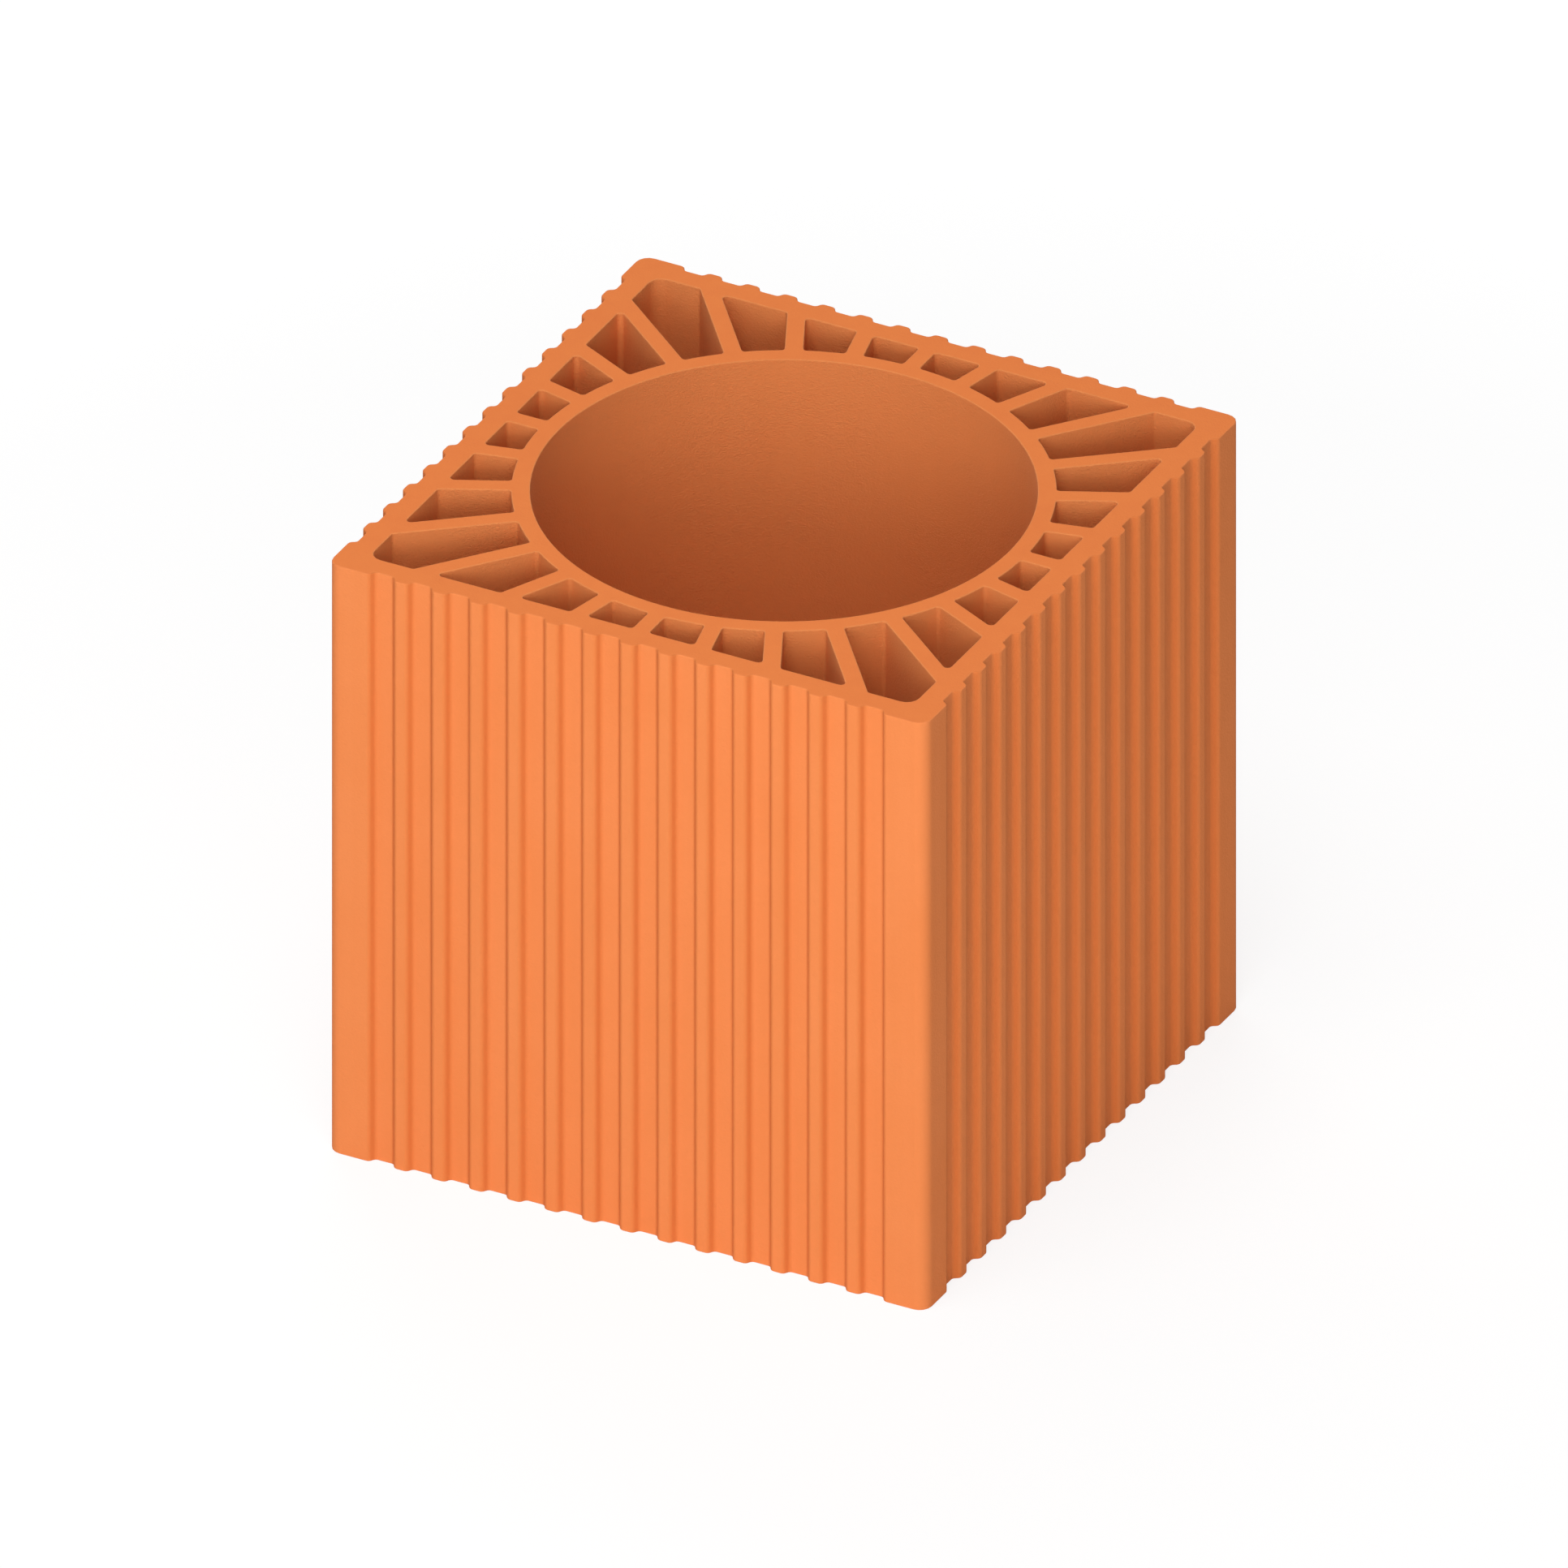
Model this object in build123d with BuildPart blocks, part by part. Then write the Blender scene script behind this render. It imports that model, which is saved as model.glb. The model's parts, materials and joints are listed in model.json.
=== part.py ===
"""Clay ventilation chimney block, pressed and fired as one piece.

A square block with a round flue bore. A thin ring wall goes round the bore, radial webs carry it
in the outer shell, and upright keying ribs cover the four sides. Clay is pressed through a die and
cut to length, so the section is the same all the way up.
Origin: centre of the bore on the lower bed face. +Z runs up the bore.
"""

from build123d import *
import os
from math import floor

# The block's height, and the flue bore that its width is built out from, in millimetres
block_height = 243.0
bore_diameter = 180.0

# Clay and hollow cells from the bore out to the rib crests
bore_wall = 6.8
cell_depth = 12.2  # from the ring wall to the shell, where the cells are shallowest
shell_thickness = 11.0
web_count = 28
web_thickness = 6.7
cell_edge_radius = 1.5
cell_corner_radius = 4.8  # the outermost corner of each corner cell

# The four sides, with their keying ribs
block_sides = 4
corner_radius = 5.0
corner_land = 15.0  # at least this much of a side is left plain at each corner
rib_pitch = 15.1
rib_depth = 2.5
rib_crest_width = 5.0  # between the flanks, before the crest's edges are rounded
rib_flank_run = 1.5  # how far each flank leans, measured along the side
rib_crest_radius = 2.1
rib_root_radius = 1.7

# Sizes that follow from those above
bore_radius = bore_diameter / 2
ring_radius = bore_radius + bore_wall
cell_field_width = 2 * (ring_radius + cell_depth)
block_width = cell_field_width + 2 * shell_thickness
groove_mouth_width = rib_pitch - rib_crest_width
groove_floor_width = groove_mouth_width - 2 * rib_flank_run
ribbed_width = block_width - 2 * corner_land
groove_count = 1 + floor((ribbed_width - groove_mouth_width) / rib_pitch)

# One groove, from mid-crest to mid-crest. Its mouth is on local X = 0 and its floor in the clay,
# and outside the block it goes on for the full pitch, so that rounding it rounds the ribs' roots
# and crests too.
with BuildSketch() as groove:
    with BuildLine():
        Polyline(
            (rib_depth, -rib_pitch / 2),
            (0, -rib_pitch / 2),
            (0, -groove_mouth_width / 2),
            (-rib_depth, -groove_floor_width / 2),
            (-rib_depth, groove_floor_width / 2),
            (0, groove_mouth_width / 2),
            (0, rib_pitch / 2),
            (rib_depth, rib_pitch / 2),
            close=True,
        )
    make_face()
    fillet(groove.vertices().group_by(Axis.X)[0], radius=rib_root_radius)
    in_mouth = groove.vertices().filter_by(lambda v: abs(v.Y) <= groove_mouth_width / 2)
    fillet(in_mouth.group_by(Axis.X)[-1], radius=rib_crest_radius)

# Outline: a rounded square with a row of grooves in each side
with BuildSketch() as outline:
    Rectangle(block_width, block_width)
    fillet(outline.vertices(), radius=corner_radius)
    with PolarLocations(block_width / 2, block_sides):
        with GridLocations(0, rib_pitch, 1, groove_count):
            add(groove.sketch, mode=Mode.SUBTRACT)

# Cells: the field inside the shell, less the ring wall round the bore and the radial webs
with BuildSketch() as cells:
    Rectangle(cell_field_width, cell_field_width)
    Circle(ring_radius, mode=Mode.SUBTRACT)
    with PolarLocations(0, web_count):
        Rectangle(
            block_width, web_thickness, align=(Align.MIN, Align.CENTER), mode=Mode.SUBTRACT
        )
    field_corners = cells.vertices().group_by(SortBy.DISTANCE)[-1]
    fillet(cells.vertices() - field_corners, radius=cell_edge_radius)
    field_corners = cells.vertices().group_by(SortBy.DISTANCE)[-1]
    fillet(field_corners, radius=cell_corner_radius)

# The block: the clay left round the bore and the cells, pressed to the block's height
with BuildPart() as ventilation_block:
    with BuildSketch():
        add(outline.sketch)
        add(cells.sketch, mode=Mode.SUBTRACT)
        Circle(bore_radius, mode=Mode.SUBTRACT)
    extrude(amount=block_height)
ventilation_block.part.label = "ventilation_block"

os.makedirs("parts", exist_ok=True)
export_step(ventilation_block.part, "parts/ventilation_block.step")
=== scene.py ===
import json
import math
import bpy
import numpy as np
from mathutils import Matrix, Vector
from mathutils.geometry import delaunay_2d_cdt


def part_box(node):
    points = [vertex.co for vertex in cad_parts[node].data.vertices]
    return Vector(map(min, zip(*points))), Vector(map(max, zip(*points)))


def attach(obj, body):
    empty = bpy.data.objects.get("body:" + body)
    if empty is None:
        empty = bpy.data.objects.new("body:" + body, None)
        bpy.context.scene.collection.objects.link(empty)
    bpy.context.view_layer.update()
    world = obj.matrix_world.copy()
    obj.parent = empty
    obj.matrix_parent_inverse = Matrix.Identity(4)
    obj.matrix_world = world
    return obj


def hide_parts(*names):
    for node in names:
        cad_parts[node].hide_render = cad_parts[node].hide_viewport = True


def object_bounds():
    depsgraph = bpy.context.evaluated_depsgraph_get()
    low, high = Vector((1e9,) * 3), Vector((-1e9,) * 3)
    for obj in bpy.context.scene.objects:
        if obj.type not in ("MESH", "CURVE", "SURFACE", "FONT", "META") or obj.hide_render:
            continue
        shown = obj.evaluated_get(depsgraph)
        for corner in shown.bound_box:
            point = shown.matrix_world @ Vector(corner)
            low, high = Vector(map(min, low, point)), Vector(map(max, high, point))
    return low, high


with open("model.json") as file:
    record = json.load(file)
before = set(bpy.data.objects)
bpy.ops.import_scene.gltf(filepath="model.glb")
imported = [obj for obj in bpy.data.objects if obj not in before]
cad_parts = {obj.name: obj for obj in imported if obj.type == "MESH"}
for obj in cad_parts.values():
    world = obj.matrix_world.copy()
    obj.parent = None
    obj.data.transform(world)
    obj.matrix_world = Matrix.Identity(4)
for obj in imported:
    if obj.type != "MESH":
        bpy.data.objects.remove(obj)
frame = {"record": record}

mm = 0.001
turn = 2 * math.pi
tiny = 1e-9  # keeps a division off zero
larger = {"operation": "MAXIMUM"}  # what a Math node does with two values
nodeName = "ventilation_block"
cadLow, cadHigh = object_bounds()
print("frame loaded, box in mm:", [round((b - a) / mm, 2) for a, b in zip(cadLow, cadHigh)])


def linearColour(hexCode):
    # sRGB to linear: c / 12.92 when dark, otherwise ((c + 0.055) / 1.055) to the power 2.4
    parts = np.array([int(hexCode[i:i + 2], 16) / 255 for i in (1, 3, 5)])
    linear = np.where(parts <= 0.04045, parts / 12.92, ((parts + 0.055) / 1.055) ** 2.4)
    return (*linear.tolist(), 1.0)


def addNode(tree, kind, settings=None, links=None):
    # one node: settings are attributes or input values, and links join an input to a socket
    node = tree.nodes.new(kind)
    for name, value in (settings or {}).items():
        if hasattr(node, str(name)):
            setattr(node, name, value)
        else:
            node.inputs[name].default_value = value
    for name, socket in (links or {}).items():
        tree.links.new(socket, node.inputs[name])
    return node


def emptyTree(owner):
    # Turns on the nodes of a material or a world, and takes the ready-made ones away
    owner.use_nodes = True
    owner.node_tree.nodes.clear()
    return owner.node_tree


def squareDistance(tree, place):
    # The larger of x and y without their signs: the same all along a square round the block's axis
    positive = addNode(tree, "ShaderNodeVectorMath", {"operation": "ABSOLUTE"}, {0: place}).outputs[0]
    aside = addNode(tree, "ShaderNodeSeparateXYZ", {}, {0: positive}).outputs
    return addNode(tree, "ShaderNodeMath", larger, {0: aside[0], 1: aside[1]}).outputs[0]


def placeAround(thing, around, up, distance):
    # Puts the camera or a lamp in a direction from the block's middle, and faces it to the middle.
    # The direction is in degrees, around from straight in front to the right, and up:
    # x is sin around * cos up, y is -cos around * cos up and z is sin up.
    around, up = math.radians(around), math.radians(up)
    away = Vector((math.sin(around) * math.cos(up), -math.cos(around) * math.cos(up), math.sin(up)))
    thing.location = (cadLow + cadHigh) / 2 + away * distance
    thing.rotation_euler = (-away).to_track_quat("-Z", "Y").to_euler()
    bpy.context.scene.collection.objects.link(thing)


# The block, in millimetres. Its width and height are the frame's, and its bore is the mount's.
block = {
    "boreWall": 6.8,
    "cellDepth": 12.2,  # the shallowest cells, from the ring wall to the shell
    "webCount": 28,
    "webThickness": 6.7,
    "cellEdgeRadius": 1.5,
    "cellCornerRadius": 4.8,
    "cornerRadius": 5.0,
    "ribPitch": 15.1,
    "grooveCount": 14,
    "ribDepth": 2.5,
    "ribCrest": 5.0,
    "flankRun": 1.5,
    "crestRadius": 2.1,
    "rootRadius": 1.7,
    "arrisRadius": 0.4,  # the cut ends' edges, just blunted
    "arrisRows": 3,
    "arcSteps": 4,  # in each rounded corner
    "columnSpacing": 1.8,  # at most, along a straight wall
    "rowSpacing": 24.0,  # at most, up a wall, which hardly changes with height
    "dragDepth": 0.03,  # faint upright lines, as a die drags in wet clay
    "dragWidth": (2.5, 14.0),  # the narrowest and widest of them
    "dragStrength": (0.3, 1.0),  # the weakest and strongest, before they are added up
    "dragDrift": 0.8,  # radians that a line wanders over the height
    "seed": 11,
}


def roundedLoop(corners, radii):
    # A closed loop with every corner rounded. u and v point to the corners before and after, and a
    # is half the angle between them: the arc's centre is radius / sin a along the bisector, and
    # its ends are radius / tan a from the corner. Normals point to the right of travel.
    toLast = np.roll(corners, 1, axis=0) - corners
    toNext = np.roll(corners, -1, axis=0) - corners
    u = toLast / np.linalg.norm(toLast, axis=1, keepdims=True)
    v = toNext / np.linalg.norm(toNext, axis=1, keepdims=True)
    half = np.arccos(np.clip((u * v).sum(1), -1, 1)) / 2
    bisector = (u + v) / np.linalg.norm(u + v, axis=1, keepdims=True)
    centre = bisector * (radii / np.sin(half))[:, None]
    reach = (radii / np.tan(half))[:, None]
    start, end = (u * reach - centre)[:, None], (v * reach - centre)[:, None]
    share = np.linspace(0, 1, block["arcSteps"] + 1)[None, :, None]
    sweep = (math.pi - 2 * half)[:, None, None]
    arc = (np.sin((1 - share) * sweep) * start + np.sin(share * sweep) * end) / np.sin(sweep)
    turning = np.sign(u[:, 1] * v[:, 0] - u[:, 0] * v[:, 1])  # 1 turns left, -1 turns right
    normal = arc * (turning / radii)[:, None, None]
    return ((corners + centre)[:, None] + arc).reshape(-1, 2), normal.reshape(-1, 2)


def evenColumns(points, normals, spacing):
    # Cuts each side of the loop into equal steps no longer than spacing: point i of a side is
    # start + (end - start) * i / steps, and its normal is mixed the same way.
    step = np.roll(points, -1, axis=0) - points
    count = np.maximum(1, np.ceil(np.linalg.norm(step, axis=1) / spacing)).astype(int)
    side = np.repeat(np.arange(len(points)), count)
    share = ((np.arange(count.sum()) - np.repeat(np.cumsum(count) - count, count)) / count[side])[:, None]
    normal = normals[side] * (1 - share) + np.roll(normals, -1, axis=0)[side] * share
    return points[side] + step[side] * share, normal / np.linalg.norm(normal, axis=1, keepdims=True)


def outlineLoop(width):
    # One side's grooves are a row of trapezoids at whole pitches from the middle, closed by the
    # block's corner, and the other sides are that side turned by quarter turns.
    pitch, crest, run, depth = (block[k] for k in ("ribPitch", "ribCrest", "flankRun", "ribDepth"))
    middle = (np.arange(block["grooveCount"]) - (block["grooveCount"] - 1) / 2) * pitch
    mouth = (pitch - crest) / 2
    along = middle[:, None] + np.array([-mouth, run - mouth, mouth - run, mouth])
    out = np.broadcast_to(np.array([0, depth, depth, 0]) - width / 2, along.shape)
    side = np.vstack([np.column_stack([along.ravel(), out.ravel()]), [[width / 2, -width / 2]]])
    crestEdge, root = block["crestRadius"], block["rootRadius"]
    grooves = np.tile([crestEdge, root, root, crestEdge], block["grooveCount"])
    radii = np.append(grooves, block["cornerRadius"])
    sides = 4
    angle = np.arange(sides) * turn / sides
    spin = np.stack([np.cos(angle), np.sin(angle), -np.sin(angle), np.cos(angle)], 1).reshape(-1, 2, 2)
    corners = np.einsum("ni,kij->knj", side, spin).reshape(-1, 2)
    return roundedLoop(corners, np.tile(radii, sides))


def cellLoop(index, ring, field):
    # A cell lies between two webs, outside the ring wall's circle and inside the square field. A
    # web's face is t * direction + offset: it leaves the ring where t * t is ring squared less
    # offset squared, and meets the square at the smaller t of its two sides.
    angle = (index + np.array([0, 1])) * turn / block["webCount"]
    direction = np.column_stack([np.cos(angle), np.sin(angle)])
    halfWeb = block["webThickness"] / 2
    aside = np.column_stack([-np.sin(angle), np.cos(angle)]) * np.array([[halfWeb], [-halfWeb]])
    inner = direction * np.sqrt(ring ** 2 - halfWeb ** 2) + aside
    reach = (field / 2 - np.sign(direction) * aside) / np.maximum(np.abs(direction), tiny)
    outer = direction * reach.min(1, keepdims=True) + aside
    corner = np.sign(outer.sum(0)) * field / 2
    isCorner = reach.argmin(1)[0] != reach.argmin(1)[1]
    path = [inner[1], outer[1], *([corner] if isCorner else []), outer[0], inner[0]]  # clockwise
    radii = np.full(len(path), block["cellEdgeRadius"])
    radii[2] = block["cellCornerRadius"] if isCorner else radii[2]
    points, normals = evenColumns(*roundedLoop(np.array(path), radii), block["columnSpacing"])
    far = np.linalg.norm(points, axis=1, keepdims=True)
    return np.where(far < ring, points * ring / far, points), normals  # follows the ring's curve


def dragLines(points, heights, rng):
    # Faint lines up every wall, guessed from how clay is pressed: depth * (1 + waves) / 2, kept from
    # zero to the depth. Each wave goes a whole number of times round the loop, so that it closes, and
    # drifts a little with height.
    step = np.linalg.norm(np.roll(points, -1, axis=0) - points, axis=1)
    length, place = step.sum(), np.cumsum(step) - step
    narrow, wide = block["dragWidth"]
    waves = np.arange(math.ceil(length / wide), math.floor(length / narrow) + 1)
    size = rng.uniform(*block["dragStrength"], len(waves)) / np.sqrt(len(waves))
    phase, drift = rng.uniform(0, turn, len(waves)), rng.normal(0, block["dragDrift"], len(waves))
    angle = np.multiply.outer(place / length, waves) * turn + phase
    bend = np.multiply.outer(heights / heights.max(), drift)
    lines = (np.cos(angle[None] + bend[:, None]) * size).sum(2)
    return -block["dragDepth"] * np.clip((1 + lines) / 2, 0, 1), step


def makeWall(points, normals, height, rng):
    # A wall is its loop carried up the height. At each end a quarter circle blunts the arris: it
    # is set back by radius * (1 - cos q) and rises by radius * (1 - sin q) as q goes to zero.
    radius, quarter = block["arrisRadius"], np.linspace(turn / 4, 0, block["arrisRows"] + 1)
    setBack, rise = radius * (1 - np.cos(quarter)), radius * (1 - np.sin(quarter))
    steps = math.ceil((height - 2 * radius) / block["rowSpacing"])
    between = np.linspace(radius, height - radius, steps + 1)[1:-1]
    z = np.concatenate([rise, between, height - rise[::-1]])
    inset = np.concatenate([setBack, between * 0, setBack[::-1]])
    tilt = np.concatenate([-quarter, between * 0, quarter[::-1]])  # up or down, in radians
    relief, step = dragLines(points, z, rng)
    flat = points[None] + normals[None] * (relief - inset[:, None])[:, :, None]
    place = np.concatenate([flat, np.broadcast_to(z[:, None, None], (*flat.shape[:2], 1))], 2)
    slope = (np.roll(relief, -1, 1) - np.roll(relief, 1, 1)) / (step + np.roll(step, 1))
    along = np.column_stack([-normals[:, 1], normals[:, 0]])
    sideways = (normals[None] - along[None] * slope[:, :, None]) * np.cos(tilt)[:, None, None]
    up = np.broadcast_to(np.sin(tilt)[:, None, None], (*sideways.shape[:2], 1))
    return place, np.concatenate([sideways, up], 2)


def flankShare(points, normals, reach):
    # How much of a flank each column is, from 0 on crests and floors to 1 on the slopes between:
    # the normal's part along the block's side, over the flank's own. Only what lies beyond reach
    # one way has ribs, and the block's corners, which lie beyond it both ways, have none.
    # This share is the mask of the painted shade on the flanks.
    steep = block["ribDepth"] / math.hypot(block["ribDepth"], block["flankRun"])
    isX, far = np.abs(points[:, 0]) > np.abs(points[:, 1]), np.abs(points)
    share = np.abs(np.where(isX, normals[:, 1], normals[:, 0])) / steep
    return np.where((far.max(1) > reach) & (far.min(1) < reach), np.clip(share, 0, 1), 0)


def fillSection(loops):
    # Triangles of the clay's section: those inside the first loop and in none of the hollow ones
    start = np.cumsum([0] + [len(loop) for loop in loops])
    rings = [np.arange(a, b) for a, b in zip(start, start[1:])]
    rings = [rings[0].tolist()] + [ring[::-1].tolist() for ring in rings[1:]]  # all anticlockwise
    corners = [Vector(point) for point in np.concatenate(loops).tolist()]
    insideRings, nearness = 1, 1e-6  # what it returns, and how near in mm is the same point
    result = delaunay_2d_cdt(corners, [], rings, insideRings, nearness)
    _, _, faces, fromCorners, _, fromRings = result
    solid = np.array([face for face, inside in zip(faces, fromRings) if inside == [0]])
    return np.array([source[0] for source in fromCorners])[solid]


def makeBlock():
    # Walls of the outline, the bore and the cells, joined by the two cut ends
    low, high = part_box(nodeName)
    width, height = (high.x - low.x) / mm, (high.z - low.z) / mm
    bore = next(m for m in frame["record"]["mounts"] if m["name"] == "flue_bore")["dims"]["r_mm"]
    ring = bore + block["boreWall"]
    field = 2 * (ring + block["cellDepth"])
    rng = np.random.default_rng(block["seed"])
    angle = -np.arange(0, 1, block["columnSpacing"] / (turn * bore)) * turn  # clockwise
    circle = np.column_stack([np.cos(angle), np.sin(angle)])
    loops = [evenColumns(*outlineLoop(width), block["columnSpacing"]), (circle * bore, -circle)]
    loops += [cellLoop(k, ring, field) for k in range(block["webCount"])]
    ribsFrom = field / 2 + block["cellCornerRadius"]  # in the shell, beyond every cell
    places, normals, paintedFlankShadeShares, faces, ends, first = [], [], [], [], [], 0
    for points, sideways in loops:
        place, normal = makeWall(points, sideways, height, rng)
        rows, columns = place.shape[:2]
        number = first + np.arange(rows * columns).reshape(rows, columns)
        following = np.roll(number, -1, axis=1)
        quads = np.stack([number[:-1], following[:-1], following[1:], number[1:]], 2)
        faces += quads.reshape(-1, 4).tolist()
        places.append(place.reshape(-1, 3))
        normals.append(normal.reshape(-1, 3))
        paintedFlankShadeShares.append(np.tile(flankShare(points, sideways, ribsFrom), rows))
        ends.append((number[0], number[-1], place[0, :, :2]))
        first += rows * columns
    triangles = fillSection([end[2] for end in ends])
    lower, upper = np.concatenate([e[0] for e in ends]), np.concatenate([e[1] for e in ends])
    walls = len(faces)
    faces += lower[triangles[:, ::-1]].tolist() + upper[triangles].tolist()
    mesh = bpy.data.meshes.new("clayBlock")
    mesh.from_pydata((np.concatenate(places) * mm).tolist(), [], faces)
    mesh.polygons.foreach_set("use_smooth", np.ones(len(faces), bool))
    mesh.polygons.foreach_set("material_index", (np.arange(len(faces)) >= walls).astype(np.int32))
    mesh.attributes.new("paintedFlankShade", "FLOAT", "POINT").data.foreach_set("value", np.concatenate(paintedFlankShadeShares))
    mesh.update()
    facing = np.concatenate(normals)
    mesh.normals_split_custom_set_from_vertices(facing / np.linalg.norm(facing, axis=1, keepdims=True))
    made = bpy.data.objects.new("clay_block", mesh)
    bpy.context.scene.collection.objects.link(made)
    count = sum(len(f) - 2 for f in faces)
    print("block made:", len(mesh.vertices), "points,", count, "triangles,", len(loops), "walls")
    return made


clayBlock = makeBlock()
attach(clayBlock, "root")
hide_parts(nodeName)

# Fired brick clay: earthenware rich in iron, unglazed. The iron burns to a warm orange, and the
# open pores keep it matt. The tones and depths are matched to the photo, partly by fitting,
# and aren't measured properties of a clay. Lengths in millimetres.
clay = {
    "skin": ("#eb874b", "#ee8b50"),  # the walls, from the deepest tone to the palest
    "paintedFlankShade": "#de7c41",  # painted shade: a deeper tone on the ribs' flanks, set between what the photo's two faces ask for
    "paintedInnerShade": "#e28e4f",  # painted shade: a less red tone mixed into the bore and the cells, whose shade came out too red from bounced light without it
    "paintedInnerShadeShare": 0.5,
    "cut": ("#ea8143", "#ed8545"),  # the two ends, from the deepest tone to the palest
    "toneShares": (0.5, 0.33, 0.17),  # of patches, streaks and grain
    "toneRange": (0.38, 0.62),  # of their sum, from the deepest tone to the palest
    "detail": (3.0, 2.0),  # in patches and grain, and in streaks and lines
    "patchSize": 42.0,
    "streakSize": (6.0, 180.0),  # across and up the wall
    "grainSize": 0.9,  # drawn as coarse as it needs to be to show
    "grainDepth": 0.15,
    "coreReach": (112.0, 115.0),  # inside the shell's clay, where the inner look gives way to the outer
    "wrinkleSize": (0.9, 0.5),  # along and up the wall
    "wrinkleDepth": (0.34, 0.11),  # in the bore and the cells, and on the four sides
    "wrinkleWaver": 0.7,  # how far they stray from straight
    "wrinklePatches": (0.35, 0.6),  # the patches' value where wrinkles are faintest, and where full
    "faintestWrinkle": 0.3,  # share of their depth where they are faintest
    "wireSize": (60.0, 1.3),  # along and between the wire's lines
    "wireDepth": 0.05,
    "wireWaver": 0.2,
    "roughness": (0.86, 0.97),  # as the grain's value goes from 0 to 1
    "specular": (0.3, 0.15),  # in the bore and the cells, and everywhere else
    "ior": 1.5,
}


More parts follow.
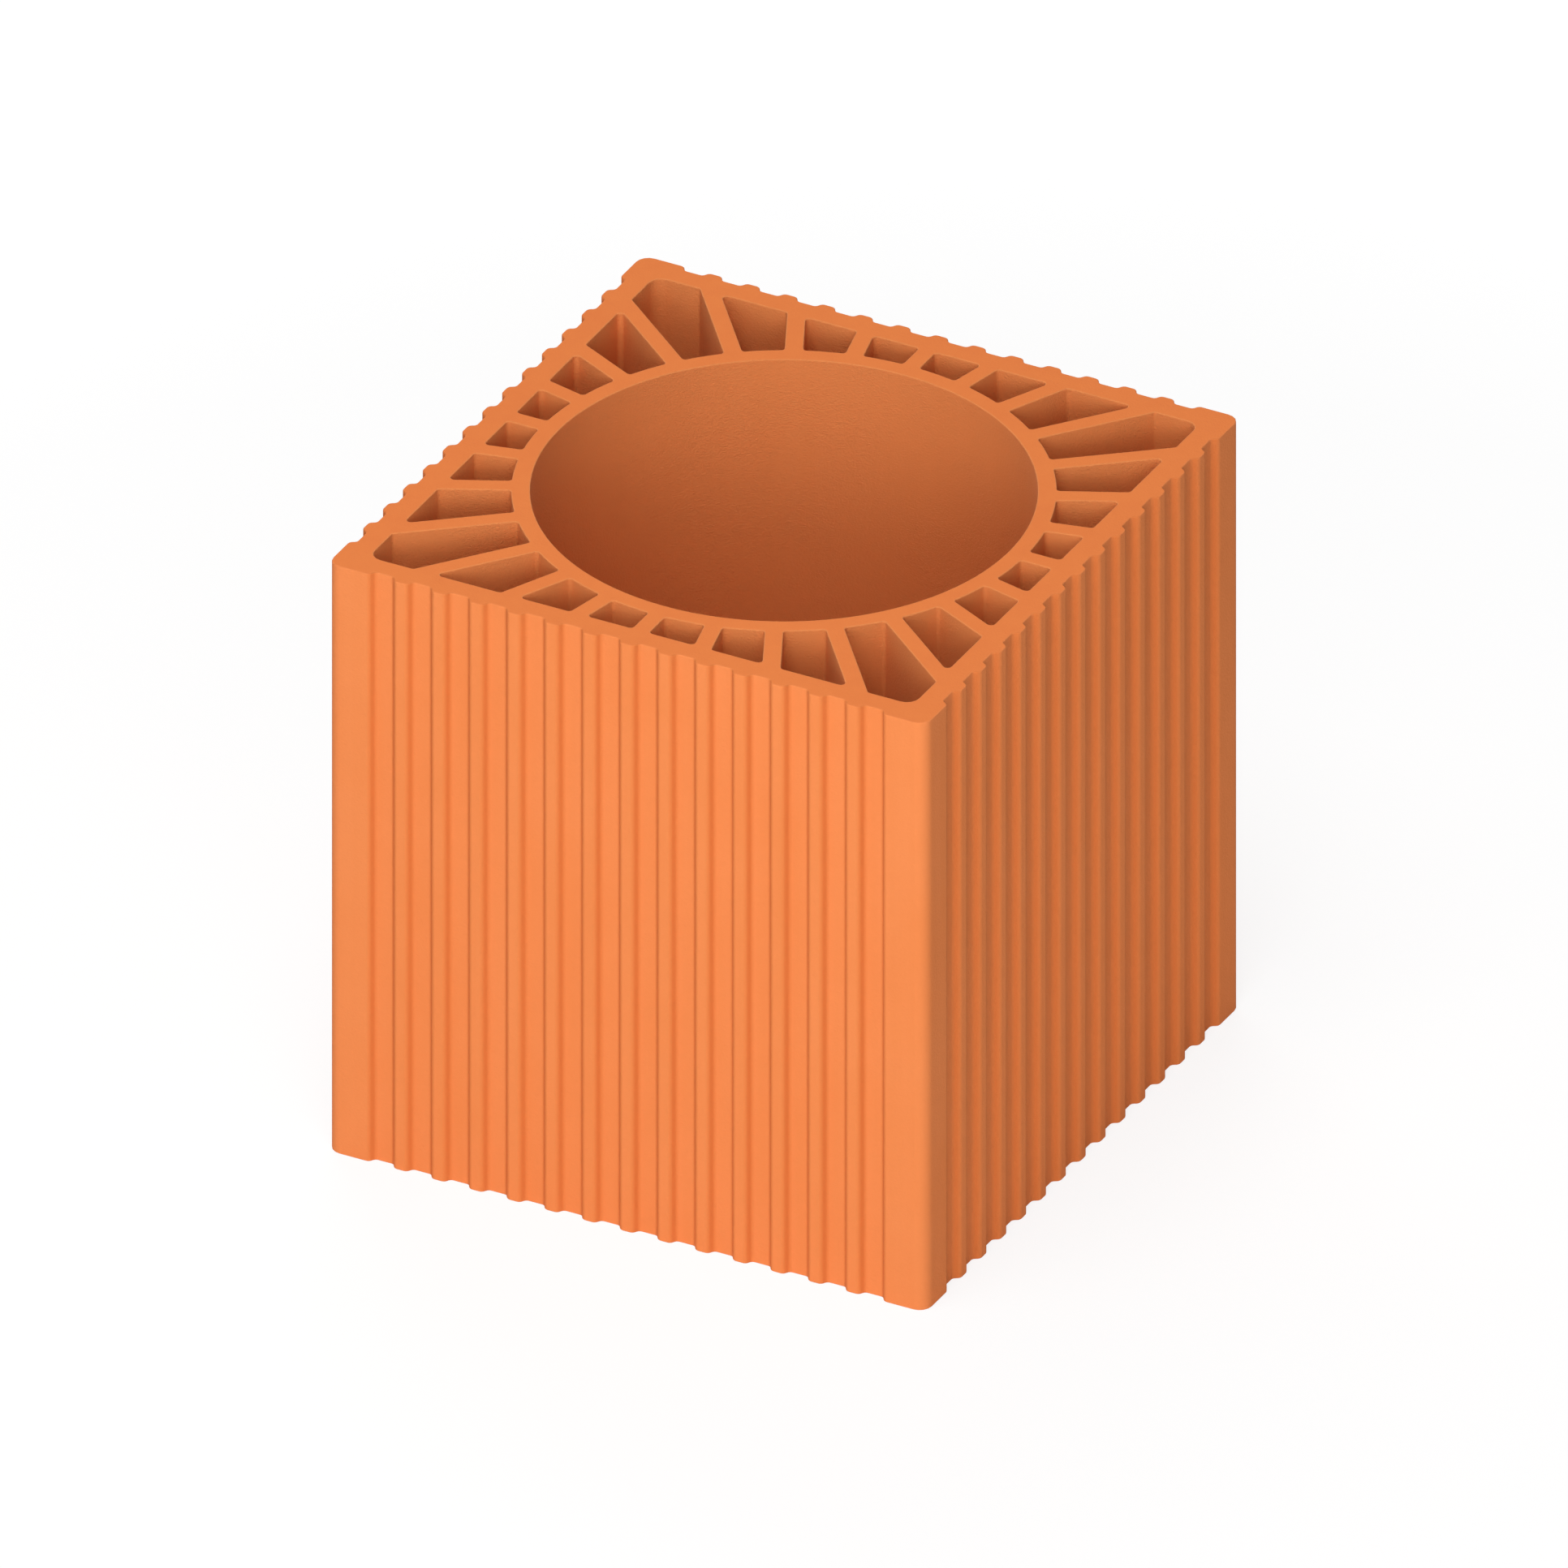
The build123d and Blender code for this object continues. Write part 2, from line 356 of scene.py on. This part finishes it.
def makeClay(name, tones, isCut):
    # Tone, from deep to pale: patches, streaks and grain, each times its share, added up.
    # Relief in mm: lines * their depth + grain * its depth. On a cut end the lines are the wire's,
    # and on a wall they are wrinkles, whose depth also goes up and down with the patches.
    material = bpy.data.materials.new(name)
    tree = emptyTree(material)
    place = addNode(tree, "ShaderNodeTexCoord").outputs["Object"]

    # Each pattern: how far it runs in mm along x, y and z, then its detail and its distortion
    across, up = clay["streakSize"]
    wide, narrow = clay["wireSize"] if isCut else clay["wrinkleSize"]
    middle, waver = (narrow, clay["wireWaver"]) if isCut else (wide, clay["wrinkleWaver"])
    fine, coarse = clay["detail"]
    patterns = {
        "patch": ([clay["patchSize"]] * 3, fine, 0.0),
        "streak": ([across, across, across if isCut else up], coarse, 0.0),
        "grain": ([clay["grainSize"]] * 3, fine, 0.0),
        "lines": ([wide, middle, narrow], coarse, waver),
    }
    drawn = {}
    for key, (size, detail, distortion) in patterns.items():
        scale = {"Scale": [1 / (s * mm) for s in size]}
        stretched = addNode(tree, "ShaderNodeMapping", scale, {"Vector": place}).outputs[0]
        settings = {"Scale": 1.0, "Detail": detail, "Distortion": distortion}
        drawn[key] = addNode(tree, "ShaderNodeTexNoise", settings, {"Vector": stretched}).outputs["Fac"]

    parts = {0: drawn["patch"], 1: drawn["streak"], 2: drawn["grain"]}
    together = addNode(tree, "ShaderNodeCombineXYZ", {}, parts).outputs[0]
    weights = {"operation": "DOT_PRODUCT", 1: clay["toneShares"]}
    tone = addNode(tree, "ShaderNodeVectorMath", weights, {0: together}).outputs["Value"]
    deepest, palest = clay["toneRange"]
    span = {"From Min": deepest, "From Max": palest}
    shade = addNode(tree, "ShaderNodeMapRange", span, {"Value": tone}).outputs[0]
    colours = {"data_type": "RGBA", 6: linearColour(tones[0]), 7: linearColour(tones[1])}
    base = addNode(tree, "ShaderNodeMix", colours, {0: shade}).outputs[2]
    dull, dullest = clay["roughness"]
    matt = {"To Min": dull, "To Max": dullest}
    roughness = addNode(tree, "ShaderNodeMapRange", matt, {"Value": drawn["grain"]}).outputs[0]

    polished, plain = clay["specular"]
    gloss = {"Specular IOR Level": plain, "IOR": clay["ior"]}
    surface = {"Base Color": base, "Roughness": roughness}
    if isCut:
        wire = {"operation": "MULTIPLY", 1: clay["wireDepth"]}
        relief = addNode(tree, "ShaderNodeMath", wire, {0: drawn["lines"]}).outputs[0]
    else:
        # Painted shade on the ribs' flanks: a deeper tone, mixed in by the flank share
        paintedFlankShade = addNode(tree, "ShaderNodeAttribute", {"attribute_name": "paintedFlankShade"}).outputs["Fac"]
        far = squareDistance(tree, place)
        # Painted shade in the bore and the cells: a less red tone, giving way inside the shell's clay
        inner, outer = clay["coreReach"]
        reach = {"From Min": inner * mm, "From Max": outer * mm}
        within = {**reach, "To Min": clay["paintedInnerShadeShare"], "To Max": 0.0}
        paintedInnerShade = addNode(tree, "ShaderNodeMapRange", within, {"Value": far}).outputs[0]
        for key, share in {"paintedFlankShade": paintedFlankShade, "paintedInnerShade": paintedInnerShade}.items():
            tint = {"data_type": "RGBA", 7: linearColour(clay[key])}
            base = addNode(tree, "ShaderNodeMix", tint, {0: share, 6: base}).outputs[2]
        surface["Base Color"] = base
        sheen = {**reach, "To Min": polished, "To Max": plain}
        shine = addNode(tree, "ShaderNodeMapRange", sheen, {"Value": far}).outputs[0]
        surface["Specular IOR Level"] = shine
        deep, shallow = clay["wrinkleDepth"]
        depths = {**reach, "To Min": deep, "To Max": shallow}
        depth = addNode(tree, "ShaderNodeMapRange", depths, {"Value": far}).outputs[0]
        faint, full = clay["wrinklePatches"]
        left = {"From Min": faint, "From Max": full, "To Min": clay["faintestWrinkle"]}
        here = addNode(tree, "ShaderNodeMapRange", left, {"Value": drawn["patch"]}).outputs[0]
        times = {"operation": "MULTIPLY"}
        relief = addNode(tree, "ShaderNodeMath", times, {0: drawn["lines"], 1: depth}).outputs[0]
        relief = addNode(tree, "ShaderNodeMath", times, {0: relief, 1: here}).outputs[0]
    grit = {"operation": "MULTIPLY_ADD", 1: clay["grainDepth"]}
    height = addNode(tree, "ShaderNodeMath", grit, {0: drawn["grain"], 2: relief}).outputs[0]
    bump = {"Strength": 1.0, "Distance": mm}
    surface["Normal"] = addNode(tree, "ShaderNodeBump", bump, {"Height": height}).outputs[0]
    shader = addNode(tree, "ShaderNodeBsdfPrincipled", gloss, surface).outputs[0]
    addNode(tree, "ShaderNodeOutputMaterial", {}, {"Surface": shader})
    return material


clayBlock.data.materials.append(makeClay("firedClayDieSkin", clay["skin"], False))
clayBlock.data.materials.append(makeClay("firedClayWireCut", clay["cut"], True))
print("clay made: die skin on the walls, wire cut on the ends")

# The view: parallel, from above the front right corner
view = {
    "azimuth": 27.8,  # degrees, from straight in front
    "elevation": 31.0,
    "pixelsPerMm": 3.4746,
    "frame": 1932,  # pixels
    "distance": 1.5,  # metres, and so is the next
    "clipEnd": 100.0,
}


def makeCamera():
    # Parallel, as the photo's view is. Its width is the frame's pixels over the pixels in a mm.
    camera = bpy.data.objects.new("camera", bpy.data.cameras.new("camera"))
    placeAround(camera, view["azimuth"], view["elevation"], view["distance"])
    camera.data.type = "ORTHO"
    camera.data.ortho_scale = view["frame"] / view["pixelsPerMm"] * mm
    camera.data.clip_end = view["clipEnd"]
    bpy.context.scene.camera = camera


makeCamera()
print("camera made: parallel, azimuth", view["azimuth"], "elevation", view["elevation"])

# Soft studio light: four broad lamps in a dim pale room, on a pale floor. In metres and watts.
studio = {
    "room": 0.18,  # of white, as diffuse light meets it
    # Each lamp: degrees round from the front to the right, degrees up, width and power
    "lamps": {
        "front": (12, 10, 1.2, 13.5),
        "key": (30, 25, 1.2, 14.5),
        "overhead": (0, 70, 1.2, 20.5),
        "back": (215, 30, 2.0, 20.0),
    },
    "lampReach": 2.2,
    "floorTone": "#e8e8e8",
    "floorSize": 30.0,
    "floorGlow": 1.1,  # of the white that the camera sees
    "floorShadow": 0.25,  # share of the floor's own light and shade in it, near the block
    "shadowFade": (0.5, 1.2),  # and it fades out between these distances
    "shadowInside": 0.5,  # that share in the floor under the bore and the cells
    "insideReach": 0.115,  # from the axis to under the shell, which hides where that begins
}


def makeStudio(scene):
    for name, (around, up, width, power) in studio["lamps"].items():
        lamp = bpy.data.objects.new(name, bpy.data.lights.new(name, "AREA"))
        lamp.data.shape = "DISK"
        lamp.data.size = width
        lamp.data.energy = power
        placeAround(lamp, around, up, studio["lampReach"])

    def isSeen(tree):
        # 1 for rays from the camera, and for those that gloss or glass sends on
        path = addNode(tree, "ShaderNodeLightPath").outputs
        direct = {0: path["Is Camera Ray"], 1: path["Is Glossy Ray"]}
        first = addNode(tree, "ShaderNodeMath", larger, direct).outputs[0]
        onward = {0: first, 1: path["Is Transmission Ray"]}
        return addNode(tree, "ShaderNodeMath", larger, onward).outputs[0]

    white = (1.0, 1.0, 1.0, 1.0)
    world = bpy.data.worlds.new("room")
    scene.world = world
    tree = emptyTree(world)
    room = addNode(tree, "ShaderNodeBackground", {"Color": white, "Strength": studio["room"]})
    backdrop = addNode(tree, "ShaderNodeBackground", {"Color": white, "Strength": 1.0})
    either = {0: isSeen(tree), 1: room.outputs[0], 2: backdrop.outputs[0]}
    air = addNode(tree, "ShaderNodeMixShader", {}, either).outputs[0]
    addNode(tree, "ShaderNodeOutputWorld", {}, {"Surface": air})

    half = studio["floorSize"] / 2
    mesh = bpy.data.meshes.new("floor")
    corners = [(-half, -half, 0), (half, -half, 0), (half, half, 0), (-half, half, 0)]
    mesh.from_pydata(corners, [], [(0, 1, 2, 3)])
    floor = bpy.data.objects.new("floor", mesh)
    scene.collection.objects.link(floor)
    material = bpy.data.materials.new("paleFloor")
    tree = emptyTree(material)
    matt = addNode(tree, "ShaderNodeBsdfDiffuse", {"Color": linearColour(studio["floorTone"])})
    glow = addNode(tree, "ShaderNodeEmission", {"Color": white, "Strength": studio["floorGlow"]})
    place = addNode(tree, "ShaderNodeTexCoord").outputs["Object"]
    far = addNode(tree, "ShaderNodeVectorMath", {"operation": "LENGTH"}, {0: place}).outputs["Value"]
    near, gone = studio["shadowFade"]
    fade = {"From Min": near, "From Max": gone, "To Min": studio["floorShadow"], "To Max": 0.0}
    faded = addNode(tree, "ShaderNodeMapRange", fade, {"Value": far}).outputs[0]
    inside = {"operation": "LESS_THAN", 1: studio["insideReach"]}
    within = addNode(tree, "ShaderNodeMath", inside, {0: squareDistance(tree, place)}).outputs[0]
    partly = {"operation": "MULTIPLY", 1: studio["shadowInside"]}
    below = addNode(tree, "ShaderNodeMath", partly, {0: within}).outputs[0]
    share = addNode(tree, "ShaderNodeMath", larger, {0: faded, 1: below}).outputs[0]
    mixed = {0: share, 1: glow.outputs[0], 2: matt.outputs[0]}
    shown = addNode(tree, "ShaderNodeMixShader", {}, mixed).outputs[0]
    parts = {0: isSeen(tree), 1: matt.outputs[0], 2: shown}
    ground = addNode(tree, "ShaderNodeMixShader", {}, parts).outputs[0]
    addNode(tree, "ShaderNodeOutputMaterial", {}, {"Surface": ground})
    mesh.materials.append(material)
    scene.view_settings.view_transform = "Standard"


makeStudio(bpy.context.scene)
print("studio made")
